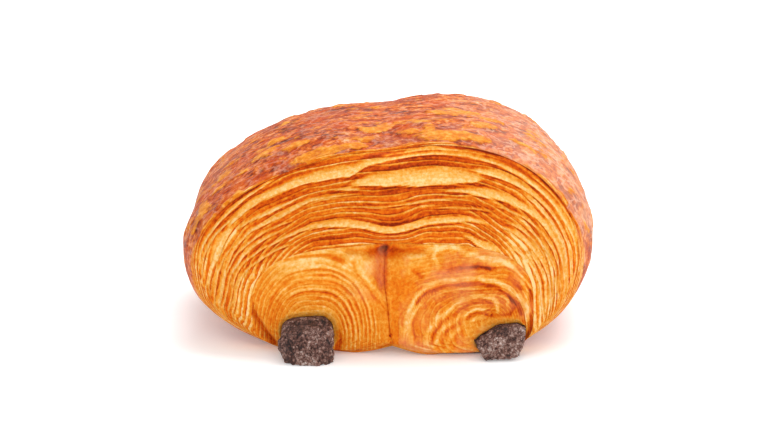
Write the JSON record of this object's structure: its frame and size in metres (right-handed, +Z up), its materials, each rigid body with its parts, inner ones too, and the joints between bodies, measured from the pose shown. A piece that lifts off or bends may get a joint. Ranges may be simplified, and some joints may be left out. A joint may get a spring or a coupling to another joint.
{
  "type": "pain au chocolat",
  "caption": "Baked laminated pastry rolled round chocolate sticks, with a brown crust, layered open ends and a seam underneath where the rolls meet.",
  "frame": {"origin": "on the surface that the pastry rests on, under the middle of its bounding box", "axes": "+X across the rolls, from the left one to the right one in the picture, +Y along the chocolate sticks away from the camera, +Z up"},
  "size_m": [0.0891, 0.086, 0.0463],
  "materials": {
    "crust": "baked laminated dough: satin egg-washed crust, matt crumb at the ends",
    "chocolate": "baked dark chocolate with a dull crazed bloom"
  },
  "bodies": {
    "root": {"pastry": "crust", "chocolate_left": "chocolate", "chocolate_right": "chocolate"}
  },
  "joints": []
}
